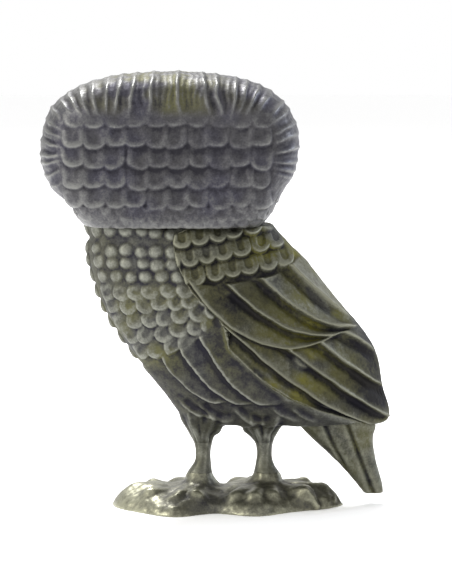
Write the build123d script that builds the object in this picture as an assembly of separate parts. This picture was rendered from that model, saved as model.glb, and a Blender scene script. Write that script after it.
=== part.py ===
from build123d import *
import math
import os

# Standing owl figurine: pewter castings soldered together round locating pins.
# Millimetres. The origin is the middle of the base's flat underside and +Z is up.
# The breast points along -X, the tail along +X, and the turned head looks along +Y.
# "near" pieces lie on the -Y side and "far" pieces on the +Y side.

# Castings
WALL = 2.0                # wall of the hollow head and body
WING_THICKNESS = 1.3      # how far a wing stands off the body
FIT = 0.03                # radial clearance of a pin or spigot in its hole

# Base and feet
BASE_LENGTH = 46.2
BASE_DEPTH = 27.0
BASE_HEIGHT = 4.5
ANKLE_Z = 6.7             # joint between a foot and its leg
ANKLE_RADIUS = 2.4
TOE_RADIUS = 1.9          # at the knuckle
KNUCKLE_Z = 2.7
KNUCKLE_SHARE = 0.76      # how far along a toe its knuckle lies
CLAW_RADIUS = 0.6

# Legs
FRONT_LEG_X = -4.9
REAR_LEG_X = 7.3
LEG_RADIUS = 1.5
THIGH_RADIUS = 1.85
SPIGOT_RADIUS = 1.0
SPIGOT_BOTTOM_Z = 1.4
SPIGOT_HEAD_RADIUS = SPIGOT_RADIUS + 0.8
SPIGOT_HEAD_HEIGHT = 1.2

# Body
BODY_BOTTOM_Z = 16.5
NECK_Z = 56.1             # flat joint between the body and the head
THIGH_Z = BODY_BOTTOM_Z - 3.8       # joint between a leg and its feathered thigh
SPIGOT_TOP_Z = BODY_BOTTOM_Z + 2.2

# Neck plug
NECK_PLUG_RADIUS = 5.0
NECK_PLUG_BORE = 3.0
NECK_PLUG_REACH = 4.5     # how far it enters the body, and the head
NECK_PLUG_X = -9.5

# Dowels between the body halves
DOWEL_RADIUS = 1.0
DOWEL_LENGTH = 8.0
DOWEL_BOSS_RADIUS = DOWEL_RADIUS + 1.6
DOWEL_PLACES = [(-16.5, 0.66), (7.5, 0.74), (-6.5, 0.31), (20.0, 0.26)]   # X and share of the body's height

# Wing pins
WING_PIN_RADIUS = 0.8
WING_PIN_REACH = 3.2      # how far a pin enters the body
WING_PIN_COVER = WING_THICKNESS * 0.45   # metal left over the pin's outer end
WING_PIN_PLACES = [(0.0, 0.73), (15.0, 0.36)]    # X and share of the body's height

# Head
HEAD_DEPTH = 26.0
HEAD_CENTRE_X = -11.3
HEAD_CENTRE_Z = NECK_Z + 13.6
HEAD_REACH = 25.3         # of the outline to each side of the head's centre
HEAD_UP = 16.4
HEAD_DOWN = 17.4
FACE_SEAM_Y = 5.0         # joint between the rear shell and the face

# Eyes and beak
EYE_SPREAD = 18.4         # distance between the eye centres
EYE_Z = HEAD_CENTRE_Z + 1.5
EYE_RADIUS = 5.0
EYE_BULGE = 1.8
BEAK_WIDTH = 4.2
BEAK_TOP_Z = EYE_Z + 1.5
BEAK_LENGTH = 10.5
BEAK_REACH = 4.4
BEAK_PEG_RADIUS = 1.2

# Tail
TAIL_TIP_Z = 2.8
TAIL_TIP_WIDTH = 3.6
TAIL_TIP_DEPTH = 6.6
TAIL_ROOT_Z = BODY_BOTTOM_Z + 4.2
TAIL_ROOT_DEPTH = 9.0

SLACK = 1.0               # how far a cutting tool passes a face
FAR = 200.0               # larger than the figurine


def oval(z, x_low, x_high, half_depth):
    """A level elliptical outline between two X values."""
    middle = (x_low + x_high) / 2
    return Plane((middle, 0, z)) * Ellipse((x_high - x_low) / 2, half_depth)


def round_bar(x, z_low, z_high, radius):
    return Pos(x, 0, (z_low + z_high) / 2) * Cylinder(radius, z_high - z_low)


def cross_bar(x, z, y_low, y_high, radius):
    """A cylinder along Y."""
    bar = Rot(90, 0, 0) * Cylinder(radius, y_high - y_low)
    return Pos(x, (y_low + y_high) / 2, z) * bar


def half_space(side):
    """Everything on one side of the plane Y = 0; side is -1 for near, +1 for far."""
    return Pos(0, side * FAR / 2, 0) * Box(2 * FAR, FAR, 2 * FAR)


# The trunk's level sections: share of the body's height, front X, back X and half depth.
# The breast is upright under the head and slopes back to the thighs.
BODY_SECTIONS = [
    (1.0, -28.2, 7.5, 10.6),
    (0.89, -27.5, 11.4, 11.6),
    (0.763, -26.9, 15.5, 12.4),
    (0.636, -25.4, 19.4, 12.8),
    (0.51, -23.2, 23.7, 12.6),
    (0.384, -19.8, 27.2, 12.0),
    (0.258, -15.9, 28.8, 11.0),
    (0.144, -12.2, 30.0, 9.6),
    (0.056, -9.8, 30.9, 7.6),
    (0.0, -6.6, 28.4, 5.0),
]


def level(share):
    """The height of a point at a share of the body's height."""
    return BODY_BOTTOM_Z + share * (NECK_Z - BODY_BOTTOM_Z)


def trunk(grow, bottom_lift=0.0, top_drop=0.0):
    """The trunk with every section grown by a distance, and its ends moved inwards."""
    outlines = []
    for share, front, back, depth in BODY_SECTIONS:
        z = level(share)
        if share == 0:
            z += bottom_lift
        if share == 1:
            z -= top_drop
        outlines.append(oval(z, front - grow, back + grow, depth + grow))
    return loft(outlines)


def thigh(x):
    """The feathered stub that a leg plugs into, from the leg up into the trunk."""
    rings = [(THIGH_Z, THIGH_RADIUS), (THIGH_Z + 1.9, 2.7), (THIGH_Z + 4.2, 4.0), (THIGH_Z + 9.0, 5.5)]
    return loft([Plane((x, 0, z)) * Circle(radius) for z, radius in rings])


def leg(x, clearance=0.0):
    """One leg with its spigots: the lower one enters the foot, the upper one the thigh."""
    waist = (ANKLE_Z + THIGH_Z) / 2
    rings = [(ANKLE_Z, ANKLE_RADIUS), (waist, LEG_RADIUS), (THIGH_Z, THIGH_RADIUS)]
    shank = loft([Plane((x, 0, z)) * Circle(radius) for z, radius in rings])
    spigot = round_bar(x, SPIGOT_BOTTOM_Z - clearance, SPIGOT_TOP_Z, SPIGOT_RADIUS + clearance)
    head_top = SPIGOT_TOP_Z + SPIGOT_HEAD_HEIGHT + clearance
    head = round_bar(x, SPIGOT_TOP_Z - clearance, head_top, SPIGOT_HEAD_RADIUS + clearance)
    return shank + spigot + head


def leg_socket(x):
    """The room that a leg's two spigots need."""
    spigots = leg(x, FIT)
    return spigots - round_bar(x, ANKLE_Z, THIGH_Z, FAR / 10)


# The base's edge from the front point to the rear point on the near side, as shares of
# its half length and half depth: two lobes stand out where the middle toes reach.
BASE_EDGE = [(-1, 0), (-0.91, -0.36), (-0.76, -0.62), (-0.41, -0.98), (-0.1, -0.73)]
BASE_EDGE += [(0.22, -0.94), (0.52, -0.64), (0.80, -0.40), (0.93, -0.22), (1, 0)]
# How the base draws in as it rises: share of the height, of the length and of the depth.
BASE_MOUND = [(0.0, 1.0, 1.0), (0.36, 0.97, 0.92), (0.70, 0.90, 0.66), (1.0, 0.80, 0.30)]


def base_outline(z, share_x, share_y):
    """The base's lobed outline at a height, drawn in about the base's centre."""
    reach_x = BASE_LENGTH / 2 * share_x
    reach_y = BASE_DEPTH / 2 * share_y
    near = [(u * reach_x, v * reach_y) for u, v in BASE_EDGE]
    far = [(x, -y) for x, y in near]
    return Plane((0, 0, z)) * make_face([Spline(*near), Spline(*far)])


def bone(start, end, start_radius, end_radius):
    """A tapered round bar between two points."""
    along = end - start
    return Plane(origin=start + along / 2, z_dir=along) * Cone(start_radius, end_radius, along.length)


def toe(x, heading, reach):
    """One toe and its claw from the ankle at x, heading degrees round from -X towards -Y."""
    turn = math.radians(heading)
    outward = Vector(-math.cos(turn), -math.sin(turn), 0)
    ankle = Vector(x, 0, 0)
    root = ankle + Vector(0, 0, BASE_HEIGHT - TOE_RADIUS)
    knuckle = ankle + outward * (reach * KNUCKLE_SHARE) + Vector(0, 0, KNUCKLE_Z)
    tip = ankle + outward * reach + Vector(0, 0, CLAW_RADIUS)
    finger = bone(root, knuckle, TOE_RADIUS * 1.2, TOE_RADIUS) + Pos(knuckle) * Sphere(TOE_RADIUS)
    return finger + bone(knuckle, tip, TOE_RADIUS, CLAW_RADIUS)


# Each toe's heading and its reach from the ankle.
FRONT_TOES = [(0, 17.6), (27, 14.8), (56, 13.2), (82, 10.4)]
REAR_TOES = [(52, 12.2), (76, 11.6), (102, 9.0), (150, 12.4), (180, 15.2)]


def make_foot_base():
    """The base with both feet modelled on it, in one casting."""
    base = loft([base_outline(share * BASE_HEIGHT, along, across) for share, along, across in BASE_MOUND])
    flare = [(BASE_HEIGHT * 0.7, 5.0), (BASE_HEIGHT * 1.08, 3.4), (ANKLE_Z, ANKLE_RADIUS)]
    for x, toes in ((FRONT_LEG_X, FRONT_TOES), (REAR_LEG_X, REAR_TOES)):
        base += loft([Plane((x, 0, z)) * Circle(radius) for z, radius in flare])
        for heading, reach in toes:
            base += toe(x, heading, reach)
            if heading not in (0, 180):
                base += toe(x, -heading, reach)
    base -= Pos(0, 0, -FAR / 2) * Box(FAR, FAR, FAR)
    for x in (FRONT_LEG_X, REAR_LEG_X):
        base -= leg_socket(x)
    return base


# The tail's level sections: share of the way from tip to root, front X, back X and half depth.
TAIL_SECTIONS = [
    (0.0, 27.0, 27.0 + TAIL_TIP_WIDTH, TAIL_TIP_DEPTH / 2),
    (0.18, 24.4, 30.1, 3.6),
    (0.40, 20.6, 29.3, 4.0),
    (0.61, 16.6, 28.7, 4.3),
    (1.0, 12.0, 26.6, TAIL_ROOT_DEPTH / 2),
]


def make_tail():
    """The tail fan; its root fills the slot between the body halves."""
    outlines = []
    for share, front, back, depth in TAIL_SECTIONS:
        z = TAIL_TIP_Z + share * (TAIL_ROOT_Z - TAIL_TIP_Z)
        place = Plane(((front + back) / 2, 0, z))
        corner = min(depth, (back - front) / 2) * 0.7
        outlines.append(place * RectangleRounded(back - front, 2 * depth, corner))
    return loft(outlines)


def make_body(tail):
    """Both body halves as one hollow solid, before the cut along Y = 0."""
    outer = trunk(0)
    cavity = trunk(-WALL, bottom_lift=WALL, top_drop=WALL)
    body = outer - cavity
    for x in (FRONT_LEG_X, REAR_LEG_X):
        body += thigh(x)
    for x, share in DOWEL_PLACES:
        body += cross_bar(x, level(share), -FAR / 4, FAR / 4, DOWEL_BOSS_RADIUS) & outer
    for x in (FRONT_LEG_X, REAR_LEG_X):
        body -= leg_socket(x)
    for x, share in DOWEL_PLACES:
        reach = DOWEL_LENGTH / 2 + FIT
        body -= cross_bar(x, level(share), -reach, reach, DOWEL_RADIUS + FIT)
    body -= tail
    body -= round_bar(NECK_PLUG_X, NECK_Z - NECK_PLUG_REACH, NECK_Z + SLACK, NECK_PLUG_RADIUS + FIT)
    return body


# The wing's edge in side view, as X and share of the body's height: down the front from
# the shoulder, along the lowest long feather, and clear of the trunk behind the back.
WING_FRONT = [(-10.2, 0.97), (-10.0, 0.854), (-9.0, 0.79), (-7.3, 0.71), (-4.4, 0.629), (-1.2, 0.545)]
WING_FRONT += [(-0.4, 0.48), (0.2, 0.412)]
WING_BELOW = [(0.2, 0.412), (5.0, 0.293), (10.0, 0.187), (16.6, 0.104), (24.0, 0.035), (29.4, -0.025)]
WING_BEHIND = [(29.4, -0.025), (40.0, -0.025), (40.0, 1.0), (-8.0, 1.0), (-10.2, 0.97)]


def make_wing(side):
    """A curved plate that lies on the trunk; side is -1 for near, +1 for far."""
    front = Spline(*[(x, level(share)) for x, share in WING_FRONT])
    below = Spline(*[(x, level(share)) for x, share in WING_BELOW])
    behind = Polyline(*[(x, level(share)) for x, share in WING_BEHIND])
    edge = make_face([front, below, behind])
    block = extrude(Plane.XZ * edge, amount=FAR / 4, both=True) & half_space(side)
    plate = (trunk(WING_THICKNESS) & block) - trunk(0)
    return plate


def trunk_half_depth(x, share):
    """Roughly how far the trunk's side stands from Y = 0, from the sections above and below."""
    for upper, lower in zip(BODY_SECTIONS, BODY_SECTIONS[1:]):
        if lower[0] <= share <= upper[0]:
            between = (share - lower[0]) / (upper[0] - lower[0])
            front, back, depth = (b + (a - b) * between for a, b in zip(upper[1:], lower[1:]))
            across = (x - (front + back) / 2) / ((back - front) / 2)
            return depth * math.sqrt(1 - across * across)
    raise ValueError("the point is above or below the trunk")


def wing_pins(side, clearance=0.0):
    """The pins that place a wing on its body half."""
    pins = []
    for x, share in WING_PIN_PLACES:
        skin = trunk_half_depth(x, share)
        outer = skin + WING_THICKNESS - WING_PIN_COVER
        ends = sorted((side * (skin - WING_PIN_REACH), side * outer))
        radius = WING_PIN_RADIUS + clearance
        pins.append(cross_bar(x, level(share), ends[0] - clearance, ends[1] + clearance, radius))
    return pins


# The head's outline in rear view, as shares of its reach left, right, up and down from
# its centre: a broad loaf with a nearly level crown, drawn in towards the neck.
HEAD_OUTLINE = [
    (-1.0, -0.04), (-0.96, 0.39), (-0.79, 0.74), (-0.46, 0.94), (0.0, 1.0), (0.51, 0.93), (0.81, 0.74),
    (0.99, 0.33), (0.97, -0.11), (0.855, -0.455), (0.74, -0.74), (0.0, -1.0), (-0.67, -0.77),
    (-0.835, -0.53), (-0.955, -0.27),
]
# How the outline shrinks from the middle of the head's depth to its flat front and rear.
HEAD_ROUNDING = [(-1.0, 0.72), (-0.94, 0.83), (-0.77, 0.925), (-0.46, 0.98), (0.0, 1.0)]
HEAD_ROUNDING += [(-share, size) for share, size in HEAD_ROUNDING[-2::-1]]


def head_form(inset):
    """The head's closed outer form, or its cavity when inset is the wall."""
    reach_x = HEAD_REACH - inset
    outlines = []
    for depth_share, size in HEAD_ROUNDING:
        points = []
        for u, v in HEAD_OUTLINE:
            reach_z = (HEAD_UP if v > 0 else HEAD_DOWN) - inset
            points.append((u * size * reach_x, v * size * reach_z))
        y = depth_share * (HEAD_DEPTH / 2 - inset)
        place = Plane(origin=(HEAD_CENTRE_X, y, HEAD_CENTRE_Z), x_dir=(1, 0, 0), z_dir=(0, -1, 0))
        outlines.append(place * make_face(Spline(*points, periodic=True)))
    return loft(outlines)


def make_head():
    """The rear shell and the face, split on a plane across the head."""
    floor_box = Pos(0, 0, NECK_Z - FAR / 2) * Box(2 * FAR, 2 * FAR, FAR)
    cavity_floor = Pos(0, 0, NECK_Z + WALL - FAR / 2) * Box(2 * FAR, 2 * FAR, FAR)
    shell = (head_form(0) - floor_box) - (head_form(WALL) - cavity_floor)
    shell -= round_bar(NECK_PLUG_X, NECK_Z - SLACK, NECK_Z + NECK_PLUG_REACH, NECK_PLUG_RADIUS + FIT)
    front = Pos(0, FACE_SEAM_Y + FAR / 2, 0) * Box(2 * FAR, FAR, 2 * FAR)
    face = shell & front
    rear = shell - front
    for eye in (make_eye(-1, FIT), make_eye(1, FIT)):
        face -= eye
    face -= beak_peg(FIT)
    return rear, face


def make_eye(side, clearance=0.0):
    """A domed disc let into the face; side is -1 or +1 along X."""
    x = HEAD_CENTRE_X + side * EYE_SPREAD / 2
    front = HEAD_DEPTH / 2
    seat = cross_bar(x, EYE_Z, front - WALL - SLACK, front, EYE_RADIUS + clearance)
    ball_radius = (EYE_RADIUS ** 2 + EYE_BULGE ** 2) / (2 * EYE_BULGE)
    ball = Pos(x, front + EYE_BULGE - ball_radius, EYE_Z) * Sphere(ball_radius)
    dome = ball & cross_bar(x, EYE_Z, front, front + FAR / 10, EYE_RADIUS)
    return seat + dome


def beak_peg(clearance=0.0):
    front = HEAD_DEPTH / 2
    z = BEAK_TOP_Z - BEAK_LENGTH / 3
    return cross_bar(HEAD_CENTRE_X, z, front - WALL - SLACK, front, BEAK_PEG_RADIUS + clearance)


def make_beak():
    """A hooked wedge on the front of the face, with a peg behind it."""
    front = HEAD_DEPTH / 2
    top, tip = BEAK_TOP_Z, BEAK_TOP_Z - BEAK_LENGTH
    hook = (front + BEAK_REACH * 0.85, tip)
    ridge = Spline((front, top), (front + BEAK_REACH * 0.75, top - BEAK_LENGTH * 0.35), hook)
    under = Polyline(hook, (front, tip + BEAK_LENGTH * 0.3), (front, top))
    side_view = make_face([ridge, under])
    blade = extrude(Plane.YZ * side_view, amount=BEAK_WIDTH / 2, both=True)
    root, nose = BEAK_WIDTH / 2, BEAK_WIDTH / 6
    corners = [(-root, 0), (root, 0), (nose, BEAK_REACH), (-nose, BEAK_REACH)]
    taper = Pos(0, front, 0) * Plane.XY * Polygon(*corners, align=None)
    wedge = extrude(Pos(0, 0, tip - SLACK) * taper, amount=BEAK_LENGTH + 2 * SLACK)
    return (Pos(HEAD_CENTRE_X, 0, 0) * (blade & wedge)) + beak_peg()


def write(name, shape):
    shape = Compound(shape) if isinstance(shape, list) else shape
    shape.label = name
    export_step(shape, os.path.join("parts", name + ".step"))


def main():
    os.makedirs("parts", exist_ok=True)
    tail = make_tail()
    body = make_body(tail)
    head_rear, face = make_head()
    for side, name in ((-1, "near"), (1, "far")):
        half = body & half_space(side)
        wing = make_wing(side)
        wing -= tail
        for hole in wing_pins(side, FIT):
            half -= hole
            wing -= hole
        write(f"body_{name}_half", half)
        write(f"{name}_wing", wing)
        write(f"{name}_wing_pins", wing_pins(side))
    write("tail", tail)
    write("head_rear_shell", head_rear)
    write("face_mask", face)
    write("left_eye", make_eye(1))
    write("right_eye", make_eye(-1))
    write("beak", make_beak())
    plug = round_bar(NECK_PLUG_X, NECK_Z - NECK_PLUG_REACH, NECK_Z + NECK_PLUG_REACH, NECK_PLUG_RADIUS)
    plug -= round_bar(NECK_PLUG_X, NECK_Z - FAR, NECK_Z + FAR, NECK_PLUG_BORE)
    write("neck_plug", plug)
    write("front_leg", leg(FRONT_LEG_X))
    write("rear_leg", leg(REAR_LEG_X))
    write("foot_base", make_foot_base())
    dowels = []
    for x, share in DOWEL_PLACES:
        dowels.append(cross_bar(x, level(share), -DOWEL_LENGTH / 2, DOWEL_LENGTH / 2, DOWEL_RADIUS))
    write("body_dowels", dowels)


main()
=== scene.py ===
import math

import bmesh
import bpy
import numpy as np
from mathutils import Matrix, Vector


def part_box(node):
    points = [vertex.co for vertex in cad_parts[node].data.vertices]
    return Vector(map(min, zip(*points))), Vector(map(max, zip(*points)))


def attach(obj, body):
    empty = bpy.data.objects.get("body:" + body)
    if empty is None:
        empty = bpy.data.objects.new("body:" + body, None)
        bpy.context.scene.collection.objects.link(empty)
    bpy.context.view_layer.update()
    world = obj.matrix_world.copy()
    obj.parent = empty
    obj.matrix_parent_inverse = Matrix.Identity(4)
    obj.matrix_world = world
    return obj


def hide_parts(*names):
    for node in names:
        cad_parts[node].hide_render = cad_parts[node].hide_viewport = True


# A small owl figurine in cast pewter. Every casting is sculpted over its CAD solid:
# the solid is given an even skin of small faces, and each point is then pushed out or
# in by the depth of the feather, scale or toe that lies there.
# The sculpting is in millimetres in the CAD frame: the breast points along -X, the tail
# along +X, the back of the turned head looks along -Y and its face along +Y.

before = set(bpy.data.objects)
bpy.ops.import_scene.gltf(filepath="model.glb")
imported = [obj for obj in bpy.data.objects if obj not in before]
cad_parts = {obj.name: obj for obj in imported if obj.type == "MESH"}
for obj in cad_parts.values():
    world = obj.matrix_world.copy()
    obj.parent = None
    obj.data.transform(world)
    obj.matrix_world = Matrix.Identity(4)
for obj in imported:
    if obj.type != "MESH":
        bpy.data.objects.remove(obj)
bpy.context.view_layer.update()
MM = 0.001

NECK_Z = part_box("head_rear_shell")[0].z / MM        # flat joint between body and head
THIGH_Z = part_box("body_near_half")[0].z / MM        # joint between thighs and legs
FACE_SEAM_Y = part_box("face_mask")[0].y / MM         # joint across the head

# Each casting's skin: the width of its small faces in millimetres, and rounds of softening.
BODY_SKIN = (0.25, 6)
TAIL_SKIN = (0.22, 4)
WING_SKIN = (0.18, 3)
BEAK_SKIN = (0.15, 3)
EYE_SKIN = (0.15, 2)

# A hollow casting is filled by its own hull, drawn in to this share of its size.
HEAD_FILLER = 0.93
TRUNK_FILLER = 0.96


# ---------------------------------------------------------------- mesh work

def cad_mesh(names):
    """The points and faces of some CAD nodes together, in millimetres."""
    points, faces = [], []
    for name in names:
        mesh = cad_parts[name].data
        start = len(points)
        points += [vertex.co / MM for vertex in mesh.vertices]
        faces += [[start + i for i in polygon.vertices] for polygon in mesh.polygons]
    return points, faces


def hull(points, shrink):
    """The convex hull of some points, drawn in towards its middle."""
    bm = bmesh.new()
    for point in points:
        bm.verts.new(point)
    made = bmesh.ops.convex_hull(bm, input=bm.verts)
    inside = made["geom_interior"] + made["geom_unused"]
    spare = [item for item in inside if isinstance(item, bmesh.types.BMVert)]
    bmesh.ops.delete(bm, geom=list(set(spare)), context="VERTS")
    bm.verts.index_update()
    middle = sum((vertex.co for vertex in bm.verts), Vector()) / len(bm.verts)
    corners = [middle + (vertex.co - middle) * shrink for vertex in bm.verts]
    faces = [[vertex.index for vertex in face.verts] for face in bm.faces]
    bm.free()
    return corners, faces


def biggest_island(points, quads):
    """The outermost closed surface of a mesh that may hold others inside it."""
    a = quads.ravel()
    b = np.roll(quads, 1, axis=1).ravel()
    label = np.arange(len(points))
    while True:
        low = np.minimum(label[a], label[b])
        new = label.copy()
        np.minimum.at(new, a, low)
        np.minimum.at(new, b, low)
        new = new[new]
        if np.array_equal(new, label):
            break
        label = new
    best, size = 0, -1.0
    for name in np.unique(label):
        spread = np.ptp(points[label == name], axis=0).sum()
        if spread > size:
            best, size = name, spread
    keep = label == best
    number = np.cumsum(keep) - 1
    return points[keep], number[quads[keep[quads[:, 0]]]]


def even_skin(names, step, filler=None):
    """One closed skin of faces about step wide over some CAD nodes. A filler closes the
    hollow inside a shell, so that only the outside is kept."""
    points, faces = cad_mesh(names)
    if filler is not None:
        start = len(points)
        points += filler[0]
        faces += [[start + i for i in face] for face in filler[1]]
    mesh = bpy.data.meshes.new("skin")
    mesh.from_pydata(points, [], faces)
    thing = bpy.data.objects.new("skin", mesh)
    bpy.context.scene.collection.objects.link(thing)
    remesh = thing.modifiers.new("even", "REMESH")
    remesh.mode = "VOXEL"
    remesh.voxel_size = step
    shown = thing.evaluated_get(bpy.context.evaluated_depsgraph_get())
    made = bpy.data.meshes.new_from_object(shown)
    co = np.empty(len(made.vertices) * 3)
    made.vertices.foreach_get("co", co)
    corners = np.empty(len(made.loops), int)
    made.loops.foreach_get("vertex_index", corners)
    bpy.data.objects.remove(thing)
    bpy.data.meshes.remove(mesh)
    bpy.data.meshes.remove(made)
    return biggest_island(co.reshape(-1, 3), corners.reshape(-1, 4))


def edges_of(quads):
    pairs = np.stack([quads.ravel(), np.roll(quads, -1, axis=1).ravel()], axis=1)
    pairs.sort(axis=1)
    return np.unique(pairs, axis=0)


def neighbour_mean(values, edges):
    """The mean of each point's neighbours; values has one column per coordinate."""
    a, b = edges[:, 0], edges[:, 1]
    count = np.bincount(a, minlength=len(values)) + np.bincount(b, minlength=len(values))
    total = np.empty_like(values)
    for i in range(values.shape[1]):
        total[:, i] = np.bincount(a, values[b, i], len(values)) + np.bincount(b, values[a, i], len(values))
    return total / count[:, None]


def smoothed(points, edges, rounds, keep_size=True):
    """Soft corners. With keep_size, each step in is followed by one out."""
    points = points.copy()
    for _ in range(rounds):
        points += 0.5 * (neighbour_mean(points, edges) - points)
        if keep_size:
            points -= 0.52 * (neighbour_mean(points, edges) - points)
    return points


def normals_of(points, quads):
    across = points[quads[:, 2]] - points[quads[:, 0]]
    along = points[quads[:, 3]] - points[quads[:, 1]]
    facing = np.cross(across, along)
    total = np.zeros_like(points)
    for i in range(3):
        total[:, i] = sum(np.bincount(quads[:, k], facing[:, i], len(points)) for k in range(4))
    return total / np.maximum(np.linalg.norm(total, axis=1), 1e-12)[:, None]


WORN_ROUNDS = 30                  # passes of rubbing where the skin is worn soft


def grab(points, pulls):
    """Pulls soft lumps of the skin about. Each pull is (x, z, radius, move x, move z) in side view."""
    for x, z, radius, move_x, move_z in pulls:
        near = np.exp(-((points[:, 0] - x) ** 2 + (points[:, 2] - z) ** 2) / radius ** 2)
        points = points + near[:, None] * np.array([move_x, 0.0, move_z])
    return points


def sculpt(names, skin, depth, finish, filler=None, pulls=(), worn=None):
    """A casting: its even skin, softened, and pushed out by depth(points, normals). worn(points)
    is how strongly the skin is rubbed soft first; finish(points, carved) gives the patina together
    with painted light and shade, above 0 where it is darker, and the share of olive wax."""
    step, soften = skin
    points, quads = even_skin(names, step, filler)
    edges = edges_of(quads)
    points = smoothed(points, edges, soften)
    if worn is not None:
        weight = worn(points)[:, None]
        for _ in range(WORN_ROUNDS):
            points += 0.5 * weight * (neighbour_mean(points, edges) - points)
    points = grab(points, pulls)
    normals = normals_of(points, quads)
    carved = depth(points, normals)
    points = smoothed(points + normals * carved[:, None], edges, 1, keep_size=False)
    patina_and_painted_light, wax = finish(points, carved)
    return points, quads, relief_of(points, quads, edges) + [patina_and_painted_light, wax]


def relief_of(points, quads, edges):
    """How far each point stands out of (above 0) or sinks below the surface round it."""
    out = normals_of(points, quads)
    near = smoothed(points, edges, 12, keep_size=False)
    wide = smoothed(near, edges, 50, keep_size=False)
    return [np.einsum("ij,ij->i", points - soft, out) for soft in (near, wide)]


def drop_crumbs(bm):
    """Keeps only the largest joined-up part of a mesh: a cut can leave crumbs at its plane."""
    left = set(bm.verts)
    largest = set()
    while left:
        grown = {left.pop()}
        rim = set(grown)
        while rim:
            rim = {link.other_vert(point) for point in rim for link in point.link_edges} - grown
            grown |= rim
        left -= grown
        if len(grown) > len(largest):
            largest = grown
    bmesh.ops.delete(bm, geom=[point for point in bm.verts if point not in largest], context="VERTS")


def casting(name, sculpted, material, replaced, cuts=()):
    """The finished piece in metres. Each cut is (point, normal): what the normal points to
    is cut away and the opening is closed."""
    points, quads, finish = sculpted
    mesh = bpy.data.meshes.new(name)
    mesh.from_pydata((points * MM).tolist(), [], quads.tolist())
    for label, values in zip(("fine_relief", "broad_relief", "patina_and_painted_light", "wax_film"), finish):
        mesh.attributes.new(label, "FLOAT", "POINT").data.foreach_set("value", values)
    if cuts:
        bm = bmesh.new()
        bm.from_mesh(mesh)
        for point, normal in cuts:
            geometry = bm.verts[:] + bm.edges[:] + bm.faces[:]
            cut = bmesh.ops.bisect_plane(
                bm, geom=geometry, plane_co=Vector(point) * MM, plane_no=normal, clear_outer=True)
            rim = [item for item in cut["geom_cut"] if isinstance(item, bmesh.types.BMEdge)]
            bmesh.ops.holes_fill(bm, edges=rim, sides=0)
        drop_crumbs(bm)
        bm.to_mesh(mesh)
        bm.free()
    mesh.shade_smooth()
    mesh.materials.append(material)
    piece = bpy.data.objects.new(name, mesh)
    bpy.context.scene.collection.objects.link(piece)
    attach(piece, "root")
    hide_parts(*replaced)
    return piece


# ---------------------------------------------------------------- shapes of relief

def rise(low, high, value):
    """0 below low, 1 above high, and a smooth step between."""
    t = np.clip((value - low) / (high - low), 0, 1)
    return t * t * (3 - 2 * t)


def ridge(distance, width):
    return np.exp(-(distance / width) ** 2)


def through(points, count=5):
    """A smooth line through some points, as closer points."""
    p = np.array(points, float)
    p = np.vstack([2 * p[0] - p[1], p, 2 * p[-1] - p[-2]])
    out = []
    for i in range(1, len(p) - 2):
        for t in np.arange(count) / count:
            a = 2 * p[i]
            b = p[i + 1] - p[i - 1]
            c = 2 * p[i - 1] - 5 * p[i] + 4 * p[i + 1] - p[i + 2]
            d = 3 * p[i] - p[i - 1] - 3 * p[i + 1] + p[i + 2]
            out.append((a + b * t + c * t ** 2 + d * t ** 3) / 2)
    out.append(p[-2])
    return np.array(out)


def swept(start, end, sag, count=9):
    """A line from start to end in side view that hangs sag below the straight one half way."""
    t = np.linspace(0, 1, count)[:, None]
    hang = 4 * sag * t * (1 - t)
    return np.array(start) * (1 - t) + np.array(end) * t - hang * np.array([0.0, 1.0])


def side_of(x, z, line, run_on=60.0):
    """Distance from a line, above 0 on its left as it is walked, and how far along it.
    The line runs on straight past both ends."""
    line = np.vstack([line[0] + (line[0] - line[1]) / np.linalg.norm(line[0] - line[1]) * run_on, line,
                      line[-1] + (line[-1] - line[-2]) / np.linalg.norm(line[-1] - line[-2]) * run_on])
    best = np.full(len(x), 1e9)
    signed = np.zeros(len(x))
    along = np.zeros(len(x))
    walked = -run_on
    for a, b in zip(line, line[1:]):
        ux, uz = b - a
        length = math.hypot(ux, uz)
        ux, uz = ux / length, uz / length
        t = np.clip((x - a[0]) * ux + (z - a[1]) * uz, 0, length)
        dx, dz = x - (a[0] + t * ux), z - (a[1] + t * uz)
        distance = np.hypot(dx, dz)
        closer = distance < best
        best = np.where(closer, distance, best)
        signed = np.where(closer, np.sign(ux * dz - uz * dx) * distance, signed)
        along = np.where(closer, walked + t, along)
        walked += length
    return signed, along


def lapped(distances, drop, rim, rim_width=0.28, end=None, fades=None):
    """Long feathers that lap like tiles. distances has one row for each feather's raised
    lower rim, above 0 on the feather's own side. A feather is high at its rim, dished
    behind it, and sinks into a dark groove along the next one's rim."""
    height = np.zeros(distances.shape[1])
    for k, own in enumerate(distances):
        following = own - 5.0 if k + 1 == len(distances) else distances[k + 1]
        if k + 1 == len(distances) and end is not None:
            following = end
        across = np.clip(own / np.maximum(own - following, 0.8), 0, 1)
        web = drop * (1 - across) ** 1.7 - 0.22 * drop * np.sin(np.pi * across ** 0.8)
        web -= 0.42 * drop * ridge(following + 0.75, 0.75) * rise(0.3, 1.2, own)
        fade = 1.0 if fades is None else fades[k]
        inside = rise(-0.14, 0.08, own) * fade
        height = height * (1 - inside) + web * inside
        height += rim * fade * ridge(own - 0.10, rim_width)
    return height


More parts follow.
